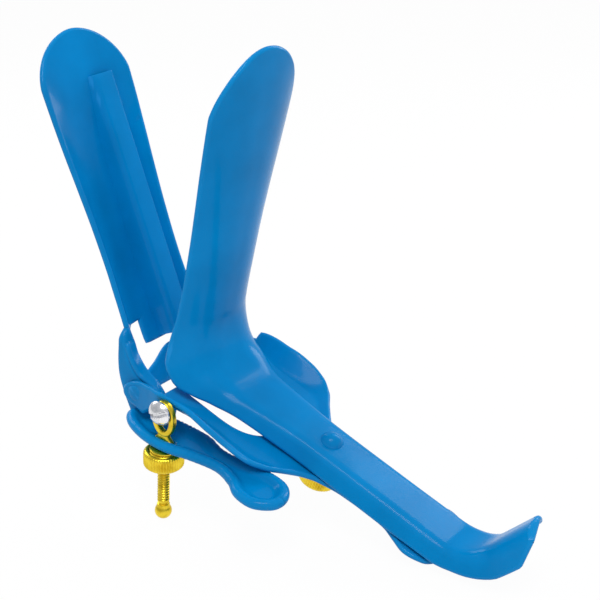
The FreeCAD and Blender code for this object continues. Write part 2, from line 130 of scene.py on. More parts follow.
def coating(name, deep, middle, bright, roughness=0.17):
    """Dipped blue coating: cloudy thickness, orange-peel skin, edges painted a lighter blue (a
    painted highlight along the edges, partly rubbed wear) and a glossy top.
    """
    material = bpy.data.materials.new(name)
    tree, shader, add = node_maker(material)
    link = tree.links.new
    place = add("ShaderNodeTexCoord")
    cloud = add("ShaderNodeTexNoise", Scale=42.0, Detail=4.0, Roughness=0.55)
    grain = add("ShaderNodeTexNoise", Scale=420.0, Detail=3.0, Roughness=0.6)
    peel = add("ShaderNodeTexNoise", Scale=900.0, Detail=2.0, Roughness=0.5)
    for texture in (cloud, grain, peel):
        link(place.outputs["Object"], texture.inputs["Vector"])
    tint = ramp(add, [(0.30, deep), (0.52, middle), (0.74, bright)])
    link(cloud.outputs["Fac"], tint.inputs["Fac"])

    # Edges found by pointiness are painted a lighter blue: a painted highlight along the edges,
    # partly rubbed wear of the coat.
    geometry = add("ShaderNodeNewGeometry")
    edge = ramp(add, [(0.50, (0, 0, 0, 1)), (0.62, (1, 1, 1, 1))])
    link(geometry.outputs["Pointiness"], edge.inputs["Fac"])
    edge_highlight_and_wear_share = add("ShaderNodeMath", operation="MULTIPLY")
    edge_highlight_and_wear_share.inputs[1].default_value = 0.35
    link(edge.outputs["Color"], edge_highlight_and_wear_share.inputs[0])
    edge_highlight_and_wear = add("ShaderNodeMix", data_type="RGBA")
    link(edge_highlight_and_wear_share.outputs["Value"], edge_highlight_and_wear.inputs["Factor"])
    link(tint.outputs["Color"], edge_highlight_and_wear.inputs["A"])
    edge_highlight_and_wear.inputs["B"].default_value = tuple(min(1.0, c * 1.25 + 0.03) for c in bright[:3]) + (1,)
    link(edge_highlight_and_wear.outputs["Result"], shader.inputs["Base Color"])

    gloss = add("ShaderNodeMapRange")
    gloss.inputs["To Min"].default_value = roughness - 0.05
    gloss.inputs["To Max"].default_value = roughness + 0.09
    link(grain.outputs["Fac"], gloss.inputs["Value"])
    link(gloss.outputs["Result"], shader.inputs["Roughness"])

    skin = add("ShaderNodeMath", operation="MULTIPLY_ADD")
    skin.inputs[1].default_value = 0.55
    link(peel.outputs["Fac"], skin.inputs[0])
    link(grain.outputs["Fac"], skin.inputs[2])
    bump = add("ShaderNodeBump")
    bump.inputs["Strength"].default_value = 0.10
    bump.inputs["Distance"].default_value = 0.00018
    link(skin.outputs["Value"], bump.inputs["Height"])
    link(bump.outputs["Normal"], shader.inputs["Normal"])

    shader.inputs["Specular IOR Level"].default_value = 0.05
    shader.inputs["Coat Weight"].default_value = 0.05
    shader.inputs["Coat Roughness"].default_value = 0.06
    return material


def metal(name, dark, light, roughness, scratch_scale, bump_strength=0.05):
    """Bright turned metal: darker tarnish in patches, fine turning marks and specks."""
    material = bpy.data.materials.new(name)
    tree, shader, add = node_maker(material)
    link = tree.links.new
    place = add("ShaderNodeTexCoord")
    patch = add("ShaderNodeTexNoise", Scale=320.0, Detail=5.0, Roughness=0.6)
    mark = add("ShaderNodeTexNoise", Scale=scratch_scale, Detail=3.0, Roughness=0.7)
    for texture in (patch, mark):
        link(place.outputs["Object"], texture.inputs["Vector"])
    tint = ramp(add, [(0.32, dark), (0.58, light)])
    link(patch.outputs["Fac"], tint.inputs["Fac"])
    link(tint.outputs["Color"], shader.inputs["Base Color"])
    gloss = add("ShaderNodeMapRange")
    gloss.inputs["To Min"].default_value = roughness - 0.08
    gloss.inputs["To Max"].default_value = roughness + 0.12
    link(mark.outputs["Fac"], gloss.inputs["Value"])
    link(gloss.outputs["Result"], shader.inputs["Roughness"])
    bump = add("ShaderNodeBump")
    bump.inputs["Strength"].default_value = bump_strength
    bump.inputs["Distance"].default_value = 0.0002
    link(mark.outputs["Fac"], bump.inputs["Height"])
    link(bump.outputs["Normal"], shader.inputs["Normal"])
    shader.inputs["Metallic"].default_value = 1.0
    return material


blue_coat = coating("blue_coat", (0.0, 0.175, 0.44, 1), (0.0, 0.205, 0.51, 1),
                    (0.0, 0.235, 0.57, 1))
gold_plate = metal("gold_plate", (0.62, 0.43, 0.02, 1), (0.88, 0.66, 0.05, 1), 0.30, 1400.0)
bright_steel = metal("bright_steel", (0.66, 0.67, 0.70, 1), (0.90, 0.90, 0.92, 1), 0.22, 1200.0)

gold_nodes = ("side_screw", "side_washer", "side_nut", "handle_washer", "handle_nut")
for name, node in nodes.items():
    node.data.materials.clear()
    if name in gold_nodes:
        node.data.materials.append(gold_plate)
    elif name == "pivot_screw":
        node.data.materials.append(bright_steel)
    else:
        node.data.materials.append(blue_coat)


# Pieces made new


def through(keys, values, at):
    """Smooth curve through a table: cubic Hermite pieces whose slopes are the mean of both sides,
    or nought where the table turns back, so that nothing overshoots."""
    keys, values, at = (np.asarray(a, dtype=float) for a in (keys, values, at))
    steps = np.diff(keys)
    slopes = np.diff(values) / steps
    inner = np.where(slopes[1:] * slopes[:-1] > 0,
                     2 * slopes[1:] * slopes[:-1] / (slopes[1:] + slopes[:-1] + 1e-30), 0.0)
    tangents = np.concatenate([slopes[:1], inner, slopes[-1:]])
    i = np.clip(np.searchsorted(keys, at) - 1, 0, len(steps) - 1)
    p = (at - keys[i]) / steps[i]
    start, end = tangents[i] * steps[i], tangents[i + 1] * steps[i]
    return (values[i] * (1 + 2 * p) * (1 - p) ** 2 + values[i + 1] * p * p * (3 - 2 * p)
            + start * p * (1 - p) ** 2 - end * p * p * (1 - p))


def grid_faces(rows, cols, start=0, closed=False):
    """Corner numbers of a grid's four-sided faces; closed joins the last column to the first."""
    i = np.arange(rows - 1)[:, None]
    j = np.arange(cols if closed else cols - 1)[None, :]
    k = (j + 1) % cols
    below = (i + 1) * cols
    corners = np.stack([i * cols + j, i * cols + k, below + k, below + j], axis=-1)
    return corners.reshape(-1, 4) + start


def put_in_scene(name, surfaces, body, material, stands_for, sharp=40.0):
    """One closed mesh from grids of points in the instrument's frame. Doubled points at seams and
    poles are merged and faces are turned outward. surfaces holds (points, faces) pairs."""
    points = np.concatenate([to_row(p).reshape(-1, 3) for p, _ in surfaces])
    starts = np.cumsum([0] + [p.reshape(-1, 3).shape[0] for p, _ in surfaces[:-1]])
    faces = np.concatenate([f + s for (_, f), s in zip(surfaces, starts)])
    same = faces == np.roll(faces, -1, axis=1)
    fours = faces[~same.any(axis=1)]
    pinched = same.sum(axis=1) == 1
    kept = ~same[pinched]
    threes = faces[pinched][kept].reshape(-1, 3)
    corners = np.concatenate([fours.ravel(), threes.ravel()])
    totals = np.concatenate([np.full(len(fours), 4), np.full(len(threes), 3)])
    mesh = bpy.data.meshes.new(name)
    mesh.vertices.add(len(points))
    mesh.vertices.foreach_set("co", points.ravel())
    mesh.loops.add(len(corners))
    mesh.loops.foreach_set("vertex_index", corners)
    mesh.polygons.add(len(totals))
    mesh.polygons.foreach_set("loop_start", np.cumsum(totals) - totals)
    mesh.polygons.foreach_set("loop_total", totals)
    mesh.update(calc_edges=True)
    mesh.validate()
    work = bmesh.new()
    work.from_mesh(mesh)
    bmesh.ops.remove_doubles(work, verts=work.verts, dist=2e-6)
    bmesh.ops.dissolve_degenerate(work, edges=work.edges, dist=1e-6)
    bmesh.ops.recalc_face_normals(work, faces=work.faces)
    work.to_mesh(mesh)
    work.free()
    mesh.polygons.foreach_set("use_smooth", np.ones(len(mesh.polygons), dtype=bool))
    mesh.materials.append(material)
    piece = bpy.data.objects.new(name, mesh)
    bpy.context.scene.collection.objects.link(piece)
    bpy.context.view_layer.objects.active = piece
    piece.select_set(True)
    bpy.ops.object.shade_smooth_by_angle(angle=math.radians(sharp))
    piece.select_set(False)
    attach(piece, body)
    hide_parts(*stands_for)
    return piece


def unit(vectors):
    return vectors / (np.linalg.norm(vectors, axis=-1, keepdims=True) + 1e-12)


def rolled_sheet(grids, thickness, rings=7, bead=None):
    """Closed sheet about a middle surface given as grids that share points where they meet. Each
    skin lies half the thickness away along the normal, and a half circle is swept round every
    free edge. Grids must turn the same way. bead holds what is added to the half thickness at
    each point of the grids."""
    flat_points = np.concatenate([g.reshape(-1, 3) for g in grids])
    starts = np.cumsum([0] + [g.shape[0] * g.shape[1] for g in grids[:-1]])
    quads = np.concatenate([grid_faces(*g.shape[:2], start=s) for g, s in zip(grids, starts)])
    _, kept, merged = np.unique(np.round(flat_points, 4), axis=0, return_index=True,
                                return_inverse=True)
    points, quads = flat_points[kept], merged.reshape(-1)[quads]

    a, b, c, d = (points[quads[:, k]] for k in range(4))
    face_normal = np.cross(c - a, d - b)
    normal = np.zeros_like(points)
    for k in range(4):
        np.add.at(normal, quads[:, k], face_normal)
    normal = unit(normal)

    edges = np.concatenate([quads[:, [k, (k + 1) % 4]] for k in range(4)])
    edges = edges[edges[:, 0] != edges[:, 1]]
    key = np.minimum(*edges.T) * len(points) + np.maximum(*edges.T)
    _, first, count = np.unique(key, return_index=True, return_counts=True)
    free = edges[first[count == 1]]
    forward = np.zeros_like(points)
    way = unit(points[free[:, 1]] - points[free[:, 0]])
    np.add.at(forward, free[:, 0], way)
    np.add.at(forward, free[:, 1], way)
    rim_points, ends = np.unique(free, return_inverse=True)
    ends = ends.reshape(-1, 2)
    out = unit(np.cross(unit(forward[rim_points]), normal[rim_points]))

    h = np.full((len(points), 1), thickness / 2)
    if bead is not None:
        h = h + np.concatenate([b.ravel() for b in bead])[kept][:, None]
    count = len(points)
    top, low = points + normal * h, points - normal * h
    angle = np.linspace(math.pi / 2, -math.pi / 2, rings)[:, None, None]
    rim = points[rim_points] + h[rim_points] * (np.cos(angle) * out
                                                + np.sin(angle) * normal[rim_points])
    start, end = ends[:, 0], ends[:, 1]
    ring = np.arange(rings - 1)[:, None] * len(rim_points)
    strips = np.stack([ring + start, ring + end, ring + len(rim_points) + end,
                       ring + len(rim_points) + start], axis=-1).reshape(-1, 4)
    return [(top, quads), (low, quads[:, ::-1]), (rim.reshape(-1, 3), strips)]


def carried(path, side, up, profile):
    """Closed profile (across, height) carried round a closed path; side and up are the profile's
    two directions at each point of the path."""
    across, height = profile[:, 0], profile[:, 1]
    points = (path[:, None] + side[:, None] * across[None, :, None]
              + up[:, None] * height[None, :, None])
    rows, cols = points.shape[:2]
    points = np.concatenate([points, points[:1]])
    return points, grid_faces(rows + 1, cols, closed=True)


def turned(heights, radii, sides=64, wave=None):
    """Profile of heights and radii turned about Z; wave(height row, angle) is added to the radius.
    A radius of nought closes an end."""
    angle = np.linspace(0, 2 * math.pi, sides, endpoint=False)
    radius = np.asarray(radii, dtype=float)[:, None] * np.ones(sides)
    level = np.asarray(heights, dtype=float)[:, None] * np.ones(sides)
    if wave is not None:
        radius = radius + wave(level, angle[None, :]) * (radius > 0)
    points = np.stack([radius * np.cos(angle), radius * np.sin(angle), level], axis=-1)
    return points, grid_faces(len(level), sides, closed=True)


def moved(surface, move):
    """The same surface with its points sent through a move."""
    return move(surface[0]), surface[1]


def section(x_way, flat, radius, turn, side, offset):
    """Place on half a trough's section at the length x_way from its middle: a flat, an arc that
    turns by turn, then a straight side. Gives the distance across and the drop from the crown."""
    r = radius - offset
    arc = r * turn
    on_arc = np.clip(x_way - flat, 0, arc) / r
    on_side = np.maximum(x_way - flat - arc, 0)
    x = np.minimum(x_way, flat) + r * np.sin(on_arc) + on_side * np.cos(turn)
    drop = radius - r * np.cos(on_arc) + on_side * np.sin(turn)
    return x, drop


def last_way(allowed, longest):
    """Greatest length across for which allowed(length) holds, found by halving."""
    low, high = np.zeros_like(longest), longest.copy()
    for _ in range(30):
        half_way = (low + high) / 2
        good = allowed(half_way)
        low, high = np.where(good, half_way, low), np.where(good, high, half_way)
    return np.where(allowed(longest), longest, low)


# Sizes that several pieces share, millimetres
sheet = 1.6
blade_length = 101.7
opening = 35.5
handle_top = 8.5
handle_screw_y = -50.1
lever_drop = 10.3
nut_radius, nut_height = 5.6, 4.8
side_screw_radius = 1.75
lower_edge_y, upper_edge_y = -1.5, 7.1
# Blade rows from tip to root: distance up the blade, half width and trough depths
blade_z = np.array([101.7, 97.0, 91.0, 82.0, 70.0, 58.0, 46.0, 34.0, 26.0])
lower_depth = np.array([1.5, 2.4, 3.3, 4.1, 4.8, 5.2, 5.7, 6.3, 6.5])
blade_half = np.array([17.3, 17.3, 17.25, 17.1, 16.6, 15.8, 15.1, 14.8, 14.95])
upper_depth = np.array([0.4, 0.7, 1.3, 2.5, 4.3, 5.2, 5.7, 6.3, 6.5])
lower_tip = {"length": 20.5, "half": 17.15, "power": 2.0}
upper_tip = {"length": 16.2, "half": 17.2, "power": 1.87}


def in_tip(x, z, tip):
    """Whether places lie within a tip's end curve, a half superellipse."""
    start = blade_length - tip["length"]
    along = np.clip((z - start) / (tip["length"] - sheet / 2), 0, 1)
    return x <= (tip["half"] - sheet / 2) * (1 - along ** tip["power"]) ** (1 / tip["power"]) + 1e-9


def arc_form(half, depth):
    """Turn and radius of a trough that is nearly one arc of the given half width and depth."""
    turn = 2 * np.arctan(depth / half) * 1.03
    return turn, 0.93 * np.minimum(half / np.sin(turn), depth / (1 - np.cos(turn)))


def lower_blade_handle():
    """Blade, bend, handle and hook as one sheet: a trough section carried along a path of straight
    lines and two arcs. Tip and lip are cut to superellipses by shortening each row."""
    bend_radius, hook_radius, hook_turn, lip_top = 17.0, 13.0, math.radians(150), 20.7
    slope = handle_slope
    end = math.pi / 2 - slope
    bend_y = lower_edge_y - 6.5 - bend_radius
    bend_z = handle_top + bend_y * math.tan(slope) + bend_radius / math.cos(slope)
    hook_y = -91.5
    hook_z = handle_top + hook_y * math.tan(slope) + hook_radius / math.cos(slope)
    way_bend = blade_length - bend_z
    way_handle = way_bend + bend_radius * end
    start_y = bend_y + bend_radius * math.cos(end)
    handle_run = (start_y - (hook_y + hook_radius * math.cos(end))) / math.cos(slope)
    way_hook = way_handle + handle_run
    way_lip = way_hook + hook_radius * (hook_turn - end)
    h = sheet / 2
    lip_z = hook_z - hook_radius * math.sin(hook_turn)
    hook_straight = (lip_top - h - lip_z) / -math.sin(hook_turn + math.pi / 2)
    way_end = way_lip + hook_straight

    tip_rows = h + (lower_tip["length"] - h) * (1 - np.cos(np.linspace(0, math.pi / 2, 34)))
    lip_run = 12.0
    lip_rows = way_end - lip_run * (1 - np.cos(np.linspace(math.pi / 2, 0, 26)))
    body_rows = np.arange(tip_rows[-1] + 1.2, lip_rows[0] - 0.6, 1.2)
    way = np.concatenate([tip_rows, body_rows, lip_rows])

    angle = np.interp(way, [0, way_bend, way_handle, way_hook, way_lip, way_end],
                      [0, 0, end, end, hook_turn, hook_turn])
    out_y, out_z = -np.cos(angle), np.sin(angle)
    on_bend = way > way_bend
    on_handle = way > way_handle
    on_hook = way > way_hook
    on_lip = way > way_lip
    past_lip = way - way_lip
    down_handle = way - way_handle
    lip_turn = hook_turn + math.pi / 2
    blade_y = lower_edge_y - through(blade_length - blade_z, lower_depth, way)
    crown_y = np.select(
        [on_lip, on_hook, on_handle, on_bend],
        [hook_y + hook_radius * math.cos(hook_turn) + past_lip * math.cos(lip_turn),
         hook_y - out_y * hook_radius,
         start_y - down_handle * math.cos(slope),
         bend_y - out_y * bend_radius], blade_y)
    crown_z = np.select(
        [on_lip, on_hook, on_handle, on_bend],
        [hook_z - hook_radius * math.sin(hook_turn) - past_lip * math.sin(lip_turn),
         hook_z - out_z * hook_radius,
         bend_z - bend_radius * math.sin(end) - down_handle * math.sin(slope),
         bend_z - out_z * bend_radius], blade_length - way)
    arc_turns, arc_radii = arc_form(blade_half, lower_depth)

    bend_keys = way_bend + bend_radius * np.radians([2, 12, 24, 35, 45, 56, 68, 85.2])
    handle_rows_y = np.array([-30, -37, -45, -58, -72, -85])
    handle_keys = way_handle + (start_y - handle_rows_y) / math.cos(slope)
    hook_keys = way_hook + hook_radius * (np.radians([88, 105, 122, 138, 150]) - end)
    lip_keys = way_lip + hook_straight * np.array([0.5, 1.0])
    keys = np.concatenate([blade_length - blade_z, bend_keys, handle_keys, hook_keys, lip_keys])
    half = through(keys, np.concatenate([blade_half,
                   [15.1, 15.8, 17.0, 17.9, 17.8, 16.4, 14.2, 12.2],
                   [11.2, 10.3, 9.5, 9.3, 9.3, 9.3], [9.3, 9.1, 9.0, 8.9, 8.8], [8.8, 8.8]]), way)
    depth = through(keys, np.concatenate([lower_depth,
                    [6.5, 7.0, 8.3, 9.6, 9.0, 6.3, 4.6, 3.9],
                    [4.2, 4.8, 5.3, 5.4, 5.4, 5.2], [5.0, 4.9, 5.6, 6.6, 7.4], [7.6, 7.6]]), way)
    turn = through(keys, np.concatenate([arc_turns,
                   np.radians([46, 46, 48, 50, 50, 47, 45, 48]),
                   np.radians([54, 60, 64, 65, 65, 65]),
                   np.radians([64, 66, 68, 70, 70, 70, 70])]), way)
    radius = through(keys, np.concatenate([arc_radii,
                     [17, 16, 14.5, 14, 13.5, 11.5, 8.5, 5.5],
                     [4.4, 3.4, 2.8, 2.8, 2.8, 2.8], [2.8, 3.2, 4.2, 5.4, 6.2], [6.6, 6.8]]), way)
    side = (depth - radius * (1 - np.cos(turn))) / np.sin(turn)
    side = np.maximum(side, 0.0)
    flat = np.maximum(half - radius * np.sin(turn) - side * np.cos(turn), 0.0)
    whole = flat + (radius - h) * turn + side - h

    # the hook's far wall runs out before the lip
    far_share = np.interp(way, [way_hook - 4, way_hook + 14, way_lip + 4], [1.0, 0.75, 0.30])

    def place(length, k):
        x, drop = section(length, flat[k], radius[k], turn[k], side[k], h)
        return x, crown_y[k] - out_y[k] * drop, crown_z[k] - out_z[k] * drop

    def allowed(length, far):
        x, y, z = place(length, np.arange(len(way)))
        lip = np.clip((z - 8.0) / (lip_top - h - 8.0), 0, 1)
        power = 2.0 if far else 3.4
        in_lip = x <= (8.8 - h + 0.6) * (1 - lip ** power) ** (1 / power) + 1e-9
        in_end = y >= (-110.0 if far else -112.9)
        return np.where(on_hook, in_lip & in_end, in_tip(x, z, lower_tip) | (z < 60))

    near_way = last_way(lambda q: allowed(q, False), whole)
    far_way = last_way(lambda q: allowed(q, True), np.minimum(whole, flat + (radius - h) * turn
                       + (side - h) * far_share) * np.where(on_hook, np.sqrt(far_share), 1.0))
    near_way[[0, -1]] = 0.0
    far_way[[0, -1]] = 0.0
    across = np.sin(np.linspace(-1, 1, 49) * math.pi / 2 * 0.9) / math.sin(math.pi / 2 * 0.9)
    length = np.where(across[None, :] < 0, -across[None, :] * near_way[:, None],
                      across[None, :] * far_way[:, None])
    k = np.arange(len(way))[:, None]
    x, y, z = place(length, k)
    middle = np.stack([np.sign(across)[None, :] * x, y, z], axis=-1)
    return put_in_scene("lower_blade_and_handle", rolled_sheet([middle], sheet), "base", blue_coat,
                        ["lower_blade_handle"])


def from_row(place):
    """A place of the row's frame in the instrument's frame, millimetres."""
    x, y, z = (np.array(place) - origin) / MM
    return np.array([x, y * tilt_cos + z * tilt_sin, -y * tilt_sin + z * tilt_cos])


pivot_place = from_row(joints["side_screw_swing"]["pos_m"])
rod_axis = joints["side_nut_travel"]["axis"]
side_lean = math.degrees(tilt - math.atan2(rod_axis[1], -rod_axis[2]))


def from_rod(points):
    """Points of the side screw's frame, Z up the screw and its origin at the pivot."""
    return turn_x(points, -side_lean, pivot_place)


def from_handle(points):
    """Points of the handle's frame, whose Z=0 is its top face."""
    return turn_x(points, math.degrees(handle_slope), (0, 0, handle_top))


def round_box(half_across, half_height, power, steps=28):
    """Rounded rectangle as a superellipse, turned the same way all round."""
    angle = np.linspace(0, 2 * math.pi, steps, endpoint=False)
    c, s = np.cos(angle), np.sin(angle)
    return np.stack([half_across * np.sign(c) * np.abs(c) ** (2 / power),
                     half_height * np.sign(s) * np.abs(s) ** (2 / power)], axis=-1)


def side_screw():
    """Oval eye carried round an ellipse, flattened foot whose width grows downward, rod with a
    helical thread as a cosine wave on its radius, and a grooved ball end."""
    rod_length, ball = 33.0, 2.45
    eye_wide, eye_high, band = 3.05, 4.75, 0.85
    eye_centre = -2.6
    angle = np.linspace(0, 2 * math.pi, 72, endpoint=False)
    c, s = np.cos(angle), np.sin(angle)
    path = np.stack([0 * c, eye_wide * c, eye_centre + eye_high * s], axis=-1)
    out = unit(np.stack([0 * c, eye_high * c, eye_wide * s], axis=-1))
    side = np.tile([1.0, 0.0, 0.0], (72, 1))
    eye = carried(path, side, out, round_box(0.95, band, 4.0))

    z = np.array([-6.8, -7.0, -7.6, -8.2, -8.8, -9.2, -9.5, -9.7, -10.6, -11.2, -11.5, -11.6])
    wide = np.array([0, 1.3, 1.7, 2.0, 2.5, 3.0, 3.25, 3.3, 3.3, 3.2, 3.0, 0])
    thick = np.array([0, 0.7, 0.9, 0.95, 0.95, 0.95, 0.95, 0.95, 0.95, 0.9, 0.8, 0])
    ring = round_box(1.0, 1.0, 4.0, 40)
    points = np.stack([thick[:, None] * ring[:, 0], wide[:, None] * ring[:, 1],
                       z[:, None] * np.ones(40)], axis=-1)
    foot = points, grid_faces(len(z), 40, closed=True)

    pitch, depth = 0.85, 0.17
    low = -rod_length + 3.3
    thread_top = -10.9
    thread_z = np.arange(thread_top, low, -pitch / 8)

    def thread(level, angle):
        run_out = np.clip((level - low) / 0.8, 0, 1) * np.clip((thread_top - level) / 0.6, 0, 1)
        return depth * (np.cos(2 * math.pi * level / pitch - angle) - 1) * run_out

    end_turn = np.linspace(math.radians(50), math.pi, 16)
    ball_z = -rod_length - 0.2 + ball * np.cos(end_turn)
    ball_r = ball * np.sin(end_turn)
    tail_z = [low - 0.1, low - 0.3, low - 0.5, low - 0.8, low - 1.0, low - 1.25]
    tail_r = [1.7, 1.4, 1.35, 1.35, 1.75, 1.85]
    heights = np.concatenate([[-10.8], thread_z, tail_z, ball_z])
    radii = np.concatenate([[0.0], np.full(len(thread_z), side_screw_radius), tail_r, ball_r])
    radii[-1] = 0.0
    rod = turned(heights, radii, 40, thread)
    return put_in_scene("eye_screw", [moved(q, from_rod) for q in (eye, foot, rod)], "side_rod",
                        gold_plate, ["side_screw"])


def knurled_nut(bore, top):
    """Round nut turned from a profile with a ringed recess in its top; the rim's radius carries
    upright ridges, a wave of the angle."""
    low, outer = top - nut_height, nut_radius
    profile = np.array([
        (top - 0.9, bore), (top - 0.9, 2.9), (top - 0.75, 3.0), (top - 0.1, 3.15), (top, 3.3),
        (top, 3.75), (top - 0.35, 3.9), (top - 0.4, 4.1), (top - 0.35, 4.3), (top, 4.45),
        (top, outer - 0.7), (top - 0.12, outer - 0.4), (top - 0.4, outer - 0.1),
        (top - 0.6, outer), (top - 1.4, outer), (top - 2.4, outer), (top - 3.4, outer),
        (low + 0.6, outer), (low + 0.4, outer - 0.1), (low + 0.12, outer - 0.4),
        (low, outer - 0.7), (low, bore), (top - 0.9, bore)])

    def ridges(level, angle):
        on_rim = (np.clip((top - 0.35 - level) / 0.3, 0, 1)
                  * np.clip((level - low - 0.35) / 0.3, 0, 1))
        outside = np.arange(len(profile))[:, None]
        return 0.17 * np.cos(44 * angle) * on_rim * ((outside > 11) & (outside < 20))

    return turned(profile[:, 0], profile[:, 1], 352, ridges)


def nuts():
    """The two knurled nuts, and the side nut's washer turned from its profile."""
    level = -(lever_drop + 1.6 + 0.1)
    side_nut = moved(knurled_nut(1.8, level - 0.85), from_rod)
    put_in_scene("side_thumb_nut", [side_nut], "side_knob", gold_plate, ["side_nut"], sharp=55)
    ring = np.array([(0, 1.8), (0, 3.7), (0.1, 3.93), (0.25, 4.0), (0.55, 4.0), (0.7, 3.93),
                     (0.8, 3.7), (0.8, 1.8), (0, 1.8)])
    washer = moved(turned(level - ring[:, 0], ring[:, 1], 72), from_rod)
    put_in_scene("side_washer_ring", [washer], "side_stop", gold_plate, ["side_washer"])

    def on_handle(points):
        return from_handle(points + np.array([0, handle_screw_y, 0]))

    handle_nut = moved(knurled_nut(2.05, -9.85), on_handle)
    put_in_scene("handle_thumb_nut", [handle_nut], "handle_knob", gold_plate, ["handle_nut"],
                 sharp=55)


def pivot_head():
    """Slotted dome head on its shank: a spherical cap whose height drops in a straight groove."""
    rings, sides = 26, 72
    radius, height = 3.6, 2.1
    part = np.linspace(0, 1, rings)[:, None]
    angle = np.linspace(0, 2 * math.pi, sides, endpoint=False)[None, :]
    r = radius * np.sin(part * math.pi / 2)
    ball = (radius ** 2 + height ** 2) / (2 * height)
    u, v = r * np.cos(angle), r * np.sin(angle)
    dome = np.sqrt(ball ** 2 - r ** 2) - (ball - height) + 0.55 + 0 * angle
    slot_turn = math.radians(35)
    off = np.abs(u * math.sin(slot_turn) + v * math.cos(slot_turn))
    groove = 1 / (1 + np.exp((off - 0.5) / 0.05))
    dome = dome - groove * np.minimum(1.2, dome - 0.3)
    cap = np.stack([-dome, u, v], axis=-1)
    skirt_r = np.array([3.6, 3.62, 3.5, 1.2, 1.2, 0.0])[:, None]
    skirt_x = np.array([-0.55, -0.2, 0.0, 0.0, 4.6, 4.6])[:, None]
    skirt = np.stack([skirt_x + 0 * angle, skirt_r * np.cos(angle), skirt_r * np.sin(angle)],
                     axis=-1)
    points = np.concatenate([cap, skirt])
    surface = points, grid_faces(len(points), sides, closed=True)
    shoulder = np.array([-1.7, 0, 0]) + pivot_place
    return put_in_scene("pivot_dome_screw", [moved(surface, lambda p: p + shoulder)], "slider",
                        bright_steel, ["pivot_screw"])


def fade(part):
    """Smooth step from nought to one."""
    p = np.clip(part, 0, 1)
    return p * p * (3 - 2 * p)


def from_upper(points):
    """Points of the closed upper blade's frame, turned open about X."""
    return turn_x(points, -opening)


def strap(first_row, edge_keys, inner, corner, back, extra, at_start):
    """Wall that runs on from the blade's last row to the ear. Each row is an L: a band from the
    window's edge to the corner, and a plate from the corner to the back edge, whose places run
    through tables; the first row's own bend fades out along the strap."""
    part = np.linspace(0, 1, 44)
    curves = [np.stack([through(edge_keys, np.array(t)[:, k], part) for k in range(3)], axis=-1)
              for t in (inner, corner, back)]
    cols = len(first_row)
    share = np.linspace(0, 1, cols)
    if at_start:
        share = share[::-1]
    band = curves[1][:, None] + (curves[0] - curves[1])[:, None] * share[None, :, None]
    out = np.linspace(0, 1, extra + 1)[1:]
    if at_start:
        out = out[::-1]
    plate = curves[1][:, None] + (curves[2] - curves[1])[:, None] * out[None, :, None]
    tip = first_row[0] if at_start else first_row[-1]
    start = np.repeat(tip[None], extra, axis=0)
    rows = np.concatenate([plate, band] if at_start else [band, plate], axis=1)
    row = np.concatenate([start, first_row] if at_start else [first_row, start])
    left = (1 - fade(part / 0.22))[:, None, None]
    # the corner is rounded by averaging along each row
    for _ in range(3):
        rows[:, 1:-1] = (rows[:, :-2] + 2 * rows[:, 1:-1] + rows[:, 2:]) / 4
    return rows + (row - rows[0])[None] * left


